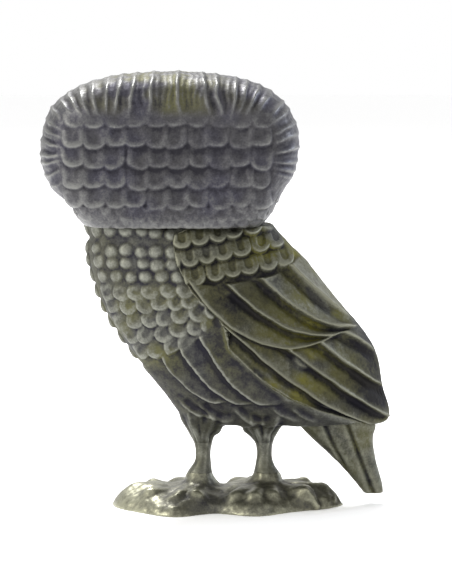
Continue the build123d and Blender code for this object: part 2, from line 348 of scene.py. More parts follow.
def scales(x, z, places, rim=0.42, hollow=0.15, tilt=0.3, squareness=2.0, gap=0.35, rim_width=0.20,
           hollow_edge=0.85):
    """U-shaped scales. Each place is (tip x, tip z, width, length, lean in degrees); the tip
    is the scale's lowest point and the scale runs up from it."""
    height = np.full(len(x), -gap)
    for tip_x, tip_z, width, length, lean in places:
        near = np.nonzero((abs(x - tip_x) < width + length) & (abs(z - tip_z) < width + length))[0]
        turn = math.radians(lean)
        dx, dz = x[near] - tip_x, z[near] - tip_z
        u = (dx * math.cos(turn) + dz * math.sin(turn)) / (width / 2)
        v = (-dx * math.sin(turn) + dz * math.cos(turn))
        below = np.clip(1 - v / (width / 2), 0, None)
        edge = (abs(u) ** squareness + below ** squareness) ** (1 / squareness)
        up = np.clip(v / length, 0, 1)
        pad = rim * ridge(edge - 0.78, rim_width) * (1 - 0.7 * up)
        pad += tilt * (1 - up) ** 1.3 - hollow * rise(hollow_edge, 0.25, edge)
        solid = rise(1.10, 0.84, edge) * rise(1.15, 0.80, v / length)
        height[near] = np.maximum(height[near], -gap + (pad + gap) * solid)
    return height


def wobble(p, size, amount, seed):
    """Side-view places shifted about a little, as in hand work."""
    return p[:, 0] + amount * ripple(p, size, seed), p[:, 2] + amount * ripple(p, size, seed + 1)


def ripple(points, size, seed):
    """Soft unevenness of a hand-worked surface, about -1 to 1, with bumps about size wide."""
    rng = np.random.default_rng(seed)
    total = np.zeros(len(points))
    for _ in range(10):
        heading = rng.normal(size=3)
        heading /= np.linalg.norm(heading)
        waves = points @ heading * (2 * math.pi / size) * rng.uniform(0.6, 1.6)
        total += np.sin(waves + rng.uniform(0, 6.3))
    return total / 4.5


# ---------------------------------------------------------------- the head

# Quills of the long feathers round the edge of the head, in millimetres along that edge.
QUILL_PITCH = 1.75                # round the ends of the head
WIDER_ON_TOP = 2.2                # how much more there is between them along the crown
FAN_X = -11.0                     # the crown's quills fan out from here
FAN_WIDTH = 11.0
FAN_LEAN = 0.033
FRINGE_OUT = 14.6                 # from the spine to the head's edge
FIELD_X = (-31.3, 8.3)            # the scaled field inside the fringe
FIELD_Z = (62.0, 77.6)
SPINE_X = (-22.0, -1.0)           # the fringe runs round this level line
SPINE_Z = 70.0
SPINE_TURN = 12.0
ROUND_THE_ENDS = 2.05             # how far the quills run on round each end, in radians

SCALE_COLUMNS = 10
SCALE_ROWS = 5
SCALE_PITCH = 3.9                 # from one row of scales down to the next
TOP_ROW_Z = 75.4
SHADOW_BAND_PITCH = 4.0                  # painted shadow in level bands over the scales
SHADOW_BAND_LIFT = 1.1

EYES = [(-20.5, 71.2), (-2.1, 71.2)]
FACE_DISC = 9.3

# Small corrections of the outline: x, z, radius of the lump that moves, move in x, move in z.
HEAD_PULLS = [(-31.5, 59.3, 2.2, 0.9, 0.4), (13.0, 66.0, 3.0, 0.5, 0.0), (-34.5, 79.0, 3.0, -0.4, 0.3)]
FIGURE_PULLS = [
    (3.6, 15.4, 1.3, -0.7, -0.5), (-2.3, 15.8, 1.2, 0.5, -0.5), (-1.0, 4.9, 2.0, 0.0, -0.6),
    (-11.5, 4.9, 2.2, 0.0, -0.7), (-6.9, 6.2, 1.7, -0.8, 0.0), (-2.8, 6.0, 1.4, -0.5, 0.0),
    (9.3, 6.0, 1.7, 0.8, 0.0), (5.2, 5.6, 1.4, 0.5, 0.0),
    (-28.0, 50.0, 6.0, -0.25, 0.0), (3.8, 13.8, 1.6, -0.5, 0.0), (15.5, 4.6, 2.0, 0.0, 0.3),
]
TAIL_PULLS = [(28.6, 16.5, 2.0, 1.2, 0.0), (31.0, 4.5, 2.5, 0.4, 0.0)]


def round_the_head(x, z):
    """How far round the head's edge a point lies, and how far out from the spine."""
    left, right = SPINE_X
    beyond = np.where(x < left, x - left, np.where(x > right, x - right, 0))
    out = np.hypot(beyond, z - SPINE_Z)
    turn = np.arctan2(beyond, z - SPINE_Z)
    return np.clip(x, left, right) + SPINE_TURN * turn, out


def quills():
    """Where each quill stands along the head's edge and how it leans, from the lower left
    round the crown to the lower right."""
    rng = np.random.default_rng(41)
    place = SPINE_X[0] - ROUND_THE_ENDS * SPINE_TURN
    lines = []
    while place < SPINE_X[1] + ROUND_THE_ENDS * SPINE_TURN:
        crown = math.exp(-((place - FAN_X) / FAN_WIDTH) ** 2)
        lines.append((place, -FAN_LEAN * (place - FAN_X) * crown))
        place += (QUILL_PITCH + WIDER_ON_TOP * crown) * rng.uniform(0.66, 1.34)
    return lines


def fringe(x, z):
    """Thin quills with hollow webs between them."""
    place, out = round_the_head(x, z)
    lines = [start + lean * (out - FRINGE_OUT) for start, lean in quills()]
    height = np.full(len(x), -0.15)
    for a, b in zip(lines, lines[1:]):
        gap = np.maximum(b - a, 0.3)
        u = (place - a) / gap
        between = (u >= 0) & (u < 1)
        deep = np.clip(0.20 * gap, 0.26, 0.50)
        web = -deep * np.clip(4 * u * (1 - u), 0, 1) ** 0.75
        web -= 0.25 * deep * np.sin(np.pi * u) * np.sin(np.pi * u * 2)
        height = np.where(between, web, height)
    for line in lines:
        height += 0.12 * ridge(place - line, 0.32)
    return height


def small_scales(rows, width, length, start, end, seed, lean=0.0):
    """Places of rows of small scales, each row offset from the last."""
    rng = np.random.default_rng(seed)
    places = []
    for i, tip in enumerate(rows):
        x = start + (i % 2) * width / 2
        while x < end:
            dx, dz = rng.uniform(-0.15, 0.15, 2)
            places.append((x + dx, tip + dz, width, length, lean))
            x += width
    return places


def head_depth(p, n):
    rng = np.random.default_rng(4)
    x, y, z = p.T
    wx, wz = wobble(p, 7.0, 0.22, 14)
    beyond_x = np.maximum(np.maximum(FIELD_X[0] - wx, wx - FIELD_X[1]), 0)
    beyond_z = np.maximum(wz - FIELD_Z[1], 0)
    past_field = np.hypot(beyond_x, beyond_z)
    in_fringe = rise(-0.4, 1.4, past_field) * rise(61.0, 64.5, z)

    width = (FIELD_X[1] - FIELD_X[0]) / SCALE_COLUMNS
    places = []
    for row in range(SCALE_ROWS):
        for column in range(SCALE_COLUMNS):
            dx, dz = rng.uniform(-0.35, 0.35, 2)
            tip_x = FIELD_X[0] + (column + 0.5) * width + dx
            places.append((tip_x, TOP_ROW_Z - row * SCALE_PITCH + dz, width + 0.8, 4.2, rng.uniform(-7, 7)))
    back = scales(wx, wz, places, rim=0.10, hollow=0.26, tilt=0.40, squareness=2.6, gap=0.30,
                  rim_width=0.50, hollow_edge=0.70)
    rubbed = 0.90 + 0.20 * ripple(p, 9.0, 17) - 0.35 * np.exp(-((x + 1) / 7) ** 2)
    rubbed -= 0.55 * rise(75.0, 76.6, z)
    back *= np.clip(rubbed, 0.25, 1.1)
    neck_rows = small_scales([59.0, 57.2, 55.5], 2.6, 2.7, -31.0, 11.0, 7)
    nx, nz = wobble(p, 3.2, 0.45, 15)
    neck = scales(nx, nz, neck_rows, rim=0.03, hollow=0.03, tilt=0.12, squareness=1.5, gap=0.05,
                  rim_width=0.5)
    back = np.where(z < 60.3, np.maximum(back, neck), back)

    face = face_depth(x, z)
    side_rows = small_scales([62.4, 60.4, 58.4, 56.4], 3.0, 2.8, -13.0, 13.0, 9)
    side_scales = scales(y, wz, side_rows, rim=0.14, hollow=0.12, tilt=0.28, gap=0.2)
    facing = n[:, 1]
    field = np.where(facing < 0, back, face)
    sideways = rise(0.75, 0.92, abs(n[:, 0]))
    field = field * (1 - sideways) + side_scales * sideways
    shown = (0.45 + 0.55 * rise(0.0, 0.6, abs(facing))) * rise(-0.8, 3.0, past_field)
    place, _ = round_the_head(wx, wz)
    barbs = 0.09 * np.sin(place * 2 * np.pi / 1.25 + 1.5 * ripple(p, 6.0, 18)) * rise(0.5, 3.5, past_field)
    height = field * (1 - in_fringe) + ((fringe(wx, wz) + barbs) * shown + 0.10) * in_fringe
    return height + 0.05 * ripple(p, 5.0, 1) + 0.02 * ripple(p, 1.4, 3)


def head_finish_and_painted_light(p, carved):
    """Painted shade makes the back of the head darkest, a painted highlight brightens its edge, painted
    light brightens its left and lower parts, and painted shadow lies in level bands along the rows of
    scales.
    """
    x, _, z = p.T
    _, out = round_the_head(x, z)
    field = np.exp(-((x + 8) / 17) ** 2 - ((z - 69.5) / 6.5) ** 2)
    # Painted shade on the middle of the head's back, painted highlight along its edge.
    patina_and_painted_light = 0.60 * field - 0.50 * rise(11.5, 15.0, out)
    # Painted light on the head's left and lower parts.
    patina_and_painted_light -= 0.40 * rise(-14.0, -34.0, x) + 0.20 * rise(62.0, 57.0, z)
    # Painted shadow in level bands under the tips of each row of scales.
    painted_shadow_bands = 0.50 * np.sin((z - TOP_ROW_Z + SHADOW_BAND_LIFT) / SHADOW_BAND_PITCH * 2 * np.pi) * field
    return patina_and_painted_light + painted_shadow_bands - 0.8 * carved, 0.15 + 0.75 * rise(77.0, 80.0, z) * np.exp(-((x + 13) / 13) ** 2)


def face_depth(x, z):
    """Two dished discs of fine rays round the eyes, under a bent brow."""
    middle = (EYES[0][0] + EYES[1][0]) / 2
    across = abs(x - middle)
    forehead = small_scales([79.5, 77.0, 74.5], 3.0, 2.8, -26.0, 4.0, 11)
    height = scales(x, z, forehead, rim=0.25, hollow=0.2, tilt=0.25)
    chin = small_scales([61.5, 59.4, 57.3], 2.9, 2.5, -32.0, 10.0, 12)
    chin = scales(x, z, chin, rim=0.22, hollow=0.18, tilt=0.25)
    height = np.where(z < 64.0, chin, height)
    for eye_x, eye_z in EYES:
        dx, dz = x - eye_x, z - eye_z
        r = np.hypot(dx, dz * 1.02)
        ray = np.sin(np.arctan2(dz, dx) * 26 + 0.4 * np.sin(r))
        dish = -0.55 + 0.75 * (r / FACE_DISC) ** 2 + 0.16 * ray * rise(5.6, 7.0, r)
        height = np.where(r < FACE_DISC, dish, height)
        height += 0.50 * ridge(r - FACE_DISC, 0.55) + 0.55 * ridge(r - 5.75, 0.45)
    brow = z - (75.2 + 0.42 * across - 0.012 * across ** 2)
    height += 0.95 * ridge(brow, 0.95) * rise(17.0, 12.0, across)
    height -= 0.30 * ridge(brow + 1.9, 0.6) * rise(15.0, 9.0, across)
    return height


# ---------------------------------------------------------------- the body

# Round breast feathers: level rows under the neck, that slope up towards the wing lower down.
BREAST_ROWS = 9
BREAST_COLUMNS = 7
BREAST_TOP_Z = 55.0
ROW_PITCH = 3.1
COLUMN_PITCH = 3.05
FIRST_FROM_FRONT = 1.9            # from the breastbone back to the first column
ROW_SLOPE = 0.042                 # added to the slope of each row after the third
BEAD_RADIUS = 1.62
BREAST_EDGE = [(-17.5, 27.5), (-14.0, 30.0), (-9.0, 32.5), (-4.5, 36.0), (-1.0, 41.5)]

# Raised lower rims of the flank feathers, one behind the other, upper end first.
FLANK_RIMS = [
    swept((-12.5 + 4.2 * k, 30.2 + 1.3 * k), (-0.8 + 5.4 * k, 21.8 - 0.4 * k), 2.3 + 0.4 * k)
    for k in range(3)
]
THIGH_RIMS = [swept((x, z), (x + 5.8, z - 2.9), 0.9) for x, z in ((-9.0, 21.3), (-5.2, 20.6), (1.6, 19.9))]

# The wing's front and lower edge down to its tip, run on above its top.
WING_EDGE = [
    (-10.2, 60.0), (-10.0, 54.0), (-9.0, 47.8), (-7.3, 44.6), (-4.4, 41.4), (-0.9, 37.4),
    (0.2, 32.8), (5.0, 28.1), (10.0, 23.9), (16.6, 20.6), (24.0, 17.9), (29.4, 15.5),
]
LEGS_X = [-4.9, 7.3]

# Downy tufts that run together into each shank, and two that lie back along the belly.
TUFTS = [
    swept((leg_x + off, 18.8), (leg_x + 0.32 * off, 13.9), 0.2)
    for leg_x in LEGS_X for off in (-3.0, -0.5, 2.6)
]
TUFTS += [swept((x, 20.5), (x + 4.2, 17.9), 0.5) for x in (9.2, 12.7)]
BREAST_DEEP = 0.36                # the skin between the breast feathers lies this far down

# Low on the breast the beads turn into short feathers: where, how large, and how they lean.
TILES_BELOW = 47
TILE_TIP = (-0.85, -1.25)         # from a bead's middle to the feather's tip
TILE_SIZE = 3.9
TILE_LEAN = -34                   # degrees


def outermost_on_side(p, x, z):
    """A place in side view, as a point on the outer skin of the near side and not in a socket."""
    near = (abs(p[:, 0] - x) < 0.3) & (abs(p[:, 2] - z) < 0.3)
    return np.array([x, p[near, 1].min(), z])


def strokes(x, z, rims, high, width, deep):
    """Short curved quills, each with a hollow on its upper side."""
    height = np.zeros(len(x))
    for line in rims:
        signed, along = side_of(x, z, line, run_on=0.4)
        length = np.hypot(*np.diff(line, axis=0).T).sum()
        near = rise(-0.8, 0.6, along) * rise(length + 0.8, length - 0.6, along) * (abs(signed) < 3)
        ends = np.hypot(x - line[0, 0], z - line[0, 1]) + np.hypot(x - line[-1, 0], z - line[-1, 1])
        near = near * (ends < length * 1.15 + 2)
        height += near * (high * ridge(signed, width) - deep * ridge(signed - 1.0, 0.75))
    return height


def breastbone(p):
    """The frontmost point of the breast at each row."""
    profile = p[abs(p[:, 1]) < 0.4]
    found = []
    for row in range(BREAST_ROWS):
        level = profile[abs(profile[:, 2] - BREAST_TOP_Z + row * ROW_PITCH) < 0.4]
        found.append(level[np.argmin(level[:, 0])] * (1, 0, 1))
    return found


def breast_places(p):
    """Middles of the breast feathers in side view, row by row from the neck down."""
    rng = np.random.default_rng(22)
    places = []
    for row, front in enumerate(breastbone(p)):
        slope = ROW_SLOPE * max(row - 2, 0)
        for column in range(BREAST_COLUMNS):
            back = FIRST_FROM_FRONT + column * COLUMN_PITCH + 0.5 * (row % 2) * rise(3, 6, row)
            dx, dz = rng.uniform(-0.3, 0.3, 2)
            places.append((front[0] + back + dx, front[2] + slope * back + dz))
    return places


def breast_depth(p):
    """Round feathers like beads, in rows across the breast."""
    rng = np.random.default_rng(21)
    places = []
    for x, z in breast_places(p):
        spot = outermost_on_side(p, x, z)
        size = rng.uniform(0.86, 1.08) * (1 + 0.16 * float(rise(45.0, 40.0, z)))
        for side in (-1, 1):
            places.append((spot * (1, -side, 1), size, z))
    places += [(spot, 1.1, spot[2]) for spot in breastbone(p)]
    height = np.full(len(p), -BREAST_DEEP)
    for spot, size, z in places:
        near = np.nonzero(np.abs(p - spot).max(axis=1) < 3)[0]
        off = p[near] - spot
        r = np.linalg.norm(off * (1, 1, 1.12), axis=1) / (BEAD_RADIUS * size)
        lean = 0.20 + 0.50 * float(rise(47.0, 38.0, z))
        facet = 1 - lean * np.clip(off[:, 2] * 0.75 + off[:, 0] * 0.45, -1, 1)
        dome = 0.74 * np.clip(1 - r ** 2.6, 0, 1) ** 0.75 * facet
        height[near] = np.maximum(height[near], -BREAST_DEEP + dome)
    return height


def figure_depth(p, n):
    """The trunk, the thighs, the legs and the base with its feet."""
    x, y, z = p.T
    wx, wz = wobble(p, 6.0, 0.15, 24)
    breast_edge, _ = side_of(x, z, through(BREAST_EDGE))
    under_wing, _ = side_of(x, z, through(WING_EDGE, 3))
    on_breast = rise(-0.4, 0.4, breast_edge) * rise(0.8, -0.4, under_wing) * rise(57.0, 55.9, z)
    beads = breast_depth(p)
    lower = rise(45.8, 43.5, z) * rise(0.40, 0.60, abs(n[:, 1]))
    rng = np.random.default_rng(27)
    low_beads = [(x_of, z_of) for x_of, z_of in breast_places(p) if z_of < TILES_BELOW]
    places = [
        (x_of + TILE_TIP[0], z_of + TILE_TIP[1], TILE_SIZE, TILE_SIZE, TILE_LEAN + rng.uniform(-9, 9))
        for x_of, z_of in low_beads
    ]
    tiles = scales(wx, wz, places, rim=0.03, hollow=0.20, tilt=0.58, gap=0.34, rim_width=0.45,
                   hollow_edge=0.45)
    height = (beads * (1 - lower) + tiles * lower) * (0.85 + 0.15 * ripple(p, 5.0, 28)) * on_breast

    flank = [side_of(wx, wz, line) for line in FLANK_RIMS]
    fades = []
    for (_, along), line in zip(flank, FLANK_RIMS):
        length = np.hypot(*np.diff(line, axis=0).T).sum()
        fades.append(rise(length + 1.2, length - 1.2, along))
    flank = np.array([signed for signed, _ in flank])
    feathers = lapped(flank, 0.85, 0.30, end=under_wing, fades=fades) * rise(-0.2, 0.3, flank[0])
    feathers = feathers * rise(17.0, 19.5, z)
    feathers += strokes(wx, wz, THIGH_RIMS, 0.42, 0.32, 0.42)
    feathers += strokes(wx, wz, TUFTS, 0.26, 0.30, 0.28)
    sideways = rise(0.2, 0.55, abs(n[:, 1]))
    height += feathers * (1 - on_breast) * sideways * rise(0.9, 0.1, under_wing)
    beside_wing = rise(-2.2, -0.2, under_wing) * rise(0.8, 0.0, under_wing)
    height += 0.45 * beside_wing * rise(39.0, 36.0, z) * sideways

    # Downy tufts on the thighs, and lines down the shanks.
    for leg_x in LEGS_X:
        off_x = x - leg_x
        turn = np.arctan2(off_x, -abs(y))
        tuft = np.sin(turn * 7 + 1.2 * np.sin(z * 0.7) + leg_x) * 0.5 + np.sin(turn * 12 + z * 0.6) * 0.3
        near = rise(5.5, 4.0, abs(off_x)) * rise(5.8, 8.5, z) * rise(20.5, 17.0, z)
        height += near * tuft * (0.08 + 0.24 * rise(11.0, 14.5, z))
    back_line = rise(5.0, 9.0, x) * rise(24.0, 27.0, z)
    height += (0.45 * rise(0.2, 0.8, n[:, 0]) + 0.14 * ridge(y, 0.35)) * back_line
    height += base_depth(p) * rise(7.2, 5.6, z)
    return height + 0.06 * ripple(p, 4.0, 2) + 0.02 * ripple(p, 1.4, 5)


def figure_worn(p):
    """The toes melt into the base, and the thighs into the belly."""
    x, _, z = p.T
    base = rise(9.5, 7.0, z) * rise(0.1, 1.2, z)
    thighs = rise(11.0, 13.0, z) * rise(19.5, 17.0, z) * rise(14.0, 10.0, x)
    return np.maximum(base, thighs)


def figure_finish_and_painted_light(p, carved):
    """The flanks and belly stay dark and the thighs are lighter. Painted light brightens the front of the
    base, and painted shade darkens the base's near face below the front foot.
    """
    x, y, z = p.T
    breast_edge, _ = side_of(x, z, through(BREAST_EDGE, 3))
    flank = rise(0.5, -0.8, breast_edge) * rise(13.5, 17.5, z)
    # Painted light on the front of the base; below it, painted shade on the base's near face under the
    # front foot.
    front = rise(-9.0, -20.0, x) * rise(10.0, 6.0, z)
    under = np.exp(-((x + 5.5) / 4.5) ** 2) * rise(-5.0, -9.0, -abs(y)) * rise(4.0, 3.0, z)
    rear = rise(4.0, 14.0, x) * rise(10.0, 6.0, z)
    thigh = rise(21.5, 18.5, z) * rise(12.0, 14.0, z)
    shanks = rise(13.0, 9.0, z) * rise(6.5, 8.0, z)
    patina_and_painted_light = 0.95 * flank - 0.60 * thigh - 0.9 * front + 0.10 * rear + 0.7 * under + 0.15 * shanks
    wax = 0.25 + 0.65 * rise(48.0, 38.0, z) * rise(26.0, 31.0, z) + 0.2 * rise(13.0, 9.0, z)
    return patina_and_painted_light - 0.8 * carved, wax


def base_depth(p):
    """Rock worn smooth, with sharper facets at the rear end."""
    x, _, z = p.T
    rock = 0.10 * ripple(p, 4.2, 31) + 0.04 * ripple(p, 1.7, 32)
    facets = 0.25 * np.abs(ripple(p, 4.0, 33)) * rise(9.0, 15.0, x)
    return (rock - facets) * rise(0.05, 1.0, z)


# ---------------------------------------------------------------- wings and tail

# Raised lower rims of the wing's long feathers. The first covert's rim is the step where
# the coverts lap over the primaries; the others rise behind it, each a shorter one.
COVERT_STEP = [
    (-8.6, 48.0), (-4.0, 41.5), (2.5, 35.8), (9.5, 33.2), (16.0, 33.4), (22.0, 35.2), (29.0, 36.5),
]
COVERT_RIMS = [through(COVERT_STEP)]
COVERT_RIMS += [
    swept((-0.5 + 6.1 * k, 45.6 + 1.4 * k), (21.0 + 2.8 * k, 34.9 + 0.8 * k), 3.0 - 0.8 * k)
    for k in range(3)
]
# Each primary's rim starts under the coverts and ends at the wing's edge: start, end, sag.
PRIMARIES = [
    ((0.0, 33.0), (17.0, 20.5), 1.5), ((3.0, 34.0), (28.5, 16.5), 1.5), ((12.0, 32.5), (31.0, 18.5), 0.4),
    ((18.0, 33.5), (30.5, 24.0), 0.2), ((23.5, 34.5), (29.5, 30.5), 0.0),
]
PRIMARY_RIMS = [swept(start, end, sag) for start, end, sag in PRIMARIES]

# Three rows of short shoulder feathers over them, each row set back from the one above.
SHOULDER_EDGE = [(-9.0, 46.5), (-2.5, 45.3), (5.0, 46.2), (10.0, 47.5), (16.0, 51.0)]
SHOULDER_ROWS = 3
SHOULDER_COLUMNS = 7
SHOULDER_START = (-12.0, 51.5)
SHOULDER_PITCH = (3.4, 3.4)
SHOULDER_SET_BACK = 1.5
SHOULDER_SLOPE = 0.18

TAIL_GROOVES = [swept((18.0, 20.0), (21.7, 11.0), 0.3), swept((23.5, 17.5), (28.2, 4.8), 0.3)]


def shoulder_places():
    """Tips of the shoulder feathers in side view."""
    places = []
    for row in range(SHOULDER_ROWS):
        for column in range(SHOULDER_COLUMNS):
            along = column * SHOULDER_PITCH[0] + row * SHOULDER_SET_BACK
            up = SHOULDER_SLOPE * along - row * (SHOULDER_PITCH[1] + SHOULDER_SLOPE * SHOULDER_SET_BACK)
            places.append((SHOULDER_START[0] + along, SHOULDER_START[1] + up))
    return places


# Where the pins end under each wing's skin, and how deep the skin may be carved over them.
WING_PINS = [(0.0, 45.4), (15.0, 30.8)]
OVER_PIN = -0.20


def wing_depth(side):
    def depth(p, n):
        x, _, z = p.T
        wx, wz = wobble(p, 6.0, 0.12, 54)
        coverts = np.array([side_of(wx, wz, line)[0] for line in COVERT_RIMS])
        primaries = np.array([side_of(wx, wz, line)[0] for line in PRIMARY_RIMS])
        height = lapped(primaries, 1.05, 0.24, rim_width=0.42) - 0.45
        upper = rise(-0.12, 0.12, coverts[0])
        height = height * (1 - upper) + (lapped(coverts, 1.15, 0.26, rim_width=0.42) - 0.15) * upper
        above, _ = side_of(wx, wz, through(SHOULDER_EDGE))
        rng = np.random.default_rng(51)
        places = [(tip_x, tip_z, 4.0, 3.6, 8 + rng.uniform(-8, 8)) for tip_x, tip_z in shoulder_places()]
        pads = scales(wx, wz, places, rim=0.05, hollow=0.28, tilt=0.62, gap=0.36, rim_width=0.45,
                      hollow_edge=0.46)
        shoulder = rise(-0.2, 0.4, above)
        height = height * (1 - shoulder) + (pads - 0.1) * shoulder
        height = np.where(pads > -0.3, np.maximum(height, pads), height)
        for pin_x, pin_z in WING_PINS:
            over = rise(2.6, 1.4, np.hypot(x - pin_x, z - pin_z))
            height = height * (1 - over) + np.maximum(height, OVER_PIN) * over
        outward = rise(0.15, 0.60, n[:, 1] * side)
        back_edge = 0.45 * rise(0.2, 0.8, n[:, 0]) * rise(24.0, 30.0, z) * rise(52.0, 48.0, z)
        from_edge, _ = side_of(x, z, through(WING_EDGE, 3))
        height -= 0.70 * rise(1.8, 0.1, from_edge) * rise(40.0, 36.0, z)
        return height * outward + back_edge + 0.04 * ripple(p, 3.0, 52) + 0.02 * ripple(p, 1.2, 53)
    return depth


def wing_finish_and_painted_light(p, carved):
    """Painted shadow blackens the wing under the shoulder feathers, and painted shade darkens it down the
    back edge; olive wax lies along the middle.
    """
    x, _, z = p.T
    painted_shadow_under_shoulder = np.exp(-((x - 1.0) / 6.0) ** 2 - ((z - 41.5) / 4.0) ** 2)
    back_edge = rise(22.0, 29.0, x) * rise(16.0, 22.0, z)
    middle = np.exp(-(((x - 14) * 0.86 - (z - 32) * 0.5) / 6.5) ** 2)
    # Painted shadow under the shoulder feathers, and painted shade down the back edge.
    patina_and_painted_light = 1.10 * painted_shadow_under_shoulder + 1.45 * back_edge - 0.10 * rise(47.0, 50.0, z) - 1.15 * carved
    patina_and_painted_light -= 0.50 * middle * (1 - back_edge)
    shoulder = rise(48.0, 51.0, z) * rise(2.0, 8.0, x)
    return patina_and_painted_light, 0.25 + 0.75 * np.maximum(middle, shoulder) * (1 - back_edge)


def tail_finish(p, carved):
    """Rubbed a little brighter than the wings."""
    return -0.40 - 0.6 * carved, np.full(len(p), 0.4)


def plain_finish(p, carved):
    return -0.3 * carved, np.full(len(p), 0.4)


def tail_depth(p, n):
    x, y, z = p.T
    height = np.zeros(len(x))
    for line in TAIL_GROOVES:
        signed, _ = side_of(x, z, line)
        height -= 0.42 * ridge(signed, 0.36)
        height += 0.12 * ridge(signed + 0.9, 0.5)
    sideways = rise(0.3, 0.7, abs(n[:, 1]))
    across = -0.40 * ridge(abs(y) - 1.3, 0.35)
    height = height * sideways + across * (1 - sideways) * rise(3.4, 4.4, z)
    return height + 0.05 * ripple(p, 3.0, 61)


def eye_depth(place):
    def depth(p, n):
        x, _, z = p.T
        r = np.hypot(x - place[0], z - place[1])
        height = -0.9 * rise(1.5, 1.1, r) - 0.35 * ridge(r - 3.1, 0.3) + 0.25 * ridge(r - 4.4, 0.4)
        return height * rise(0.3, 0.7, n[:, 1])
    return depth


def beak_depth(p, n):
    x, _, z = p.T
    middle = (EYES[0][0] + EYES[1][0]) / 2
    nostril = np.hypot(abs(x - middle) - 1.3, (z - 70.2) / 1.4)
    return -0.35 * ridge(nostril, 0.45) + 0.03 * ripple(p, 2.0, 71)


# ---------------------------------------------------------------- finishes

def linear(code):
    """A hex sRGB colour as the linear colour that the shaders work in."""
    parts = [int(code[i:i + 2], 16) / 255 for i in (1, 3, 5)]
    return [c / 12.92 if c <= 0.04045 else ((c + 0.055) / 1.055) ** 2.4 for c in parts] + [1.0]


def node(tree, kind, settings=None, inputs=None, stops=()):
    """Adds a node with its settings and links. Each input is a value or another node's
    output; stops are places along a colour ramp, each with its grey or hex colour."""
    made = tree.nodes.new("ShaderNode" + kind)
    for key, value in (settings or {}).items():
        setattr(made, key, value)
    for key, value in (inputs or {}).items():
        if isinstance(value, bpy.types.NodeSocket):
            tree.links.new(value, made.inputs[key])
        else:
            made.inputs[key].default_value = value
    for _ in stops[2:]:
        made.color_ramp.elements.new(0.5)
    for i, (place, value) in enumerate(stops):
        made.color_ramp.elements[i].position = place
        made.color_ramp.elements[i].color = linear(value) if isinstance(value, str) else [value] * 3 + [1.0]
    return made


# How wide each pattern is, in millimetres, as matched. The grain is probably finer on
# real metal, and is drawn this coarse so that it shows.
RUBBED_PATCH = 1.613
CAST_GRAIN = 0.3846
WAX_PATCH = 7.692
BRASS_STAIN = 1.111

# Relief, patina with its painted light and shade, patches and grain add up to how far the
# metal is rubbed, with painted light and shade added, from about 0 in a dark hollow to about 1 on a bare
# crest.
FINE_WEIGHT = 1.35                # for each millimetre that a point stands out
BROAD_WEIGHT = 0.45
PATINA_AND_LIGHT_WEIGHT = -0.24
PATCH_WEIGHT = 0.60
GRAIN_WEIGHT = 0.44


def repeats(width):
    """A noise scale, in waves a metre, for a pattern some millimetres wide."""
    return 1 / (width * MM)


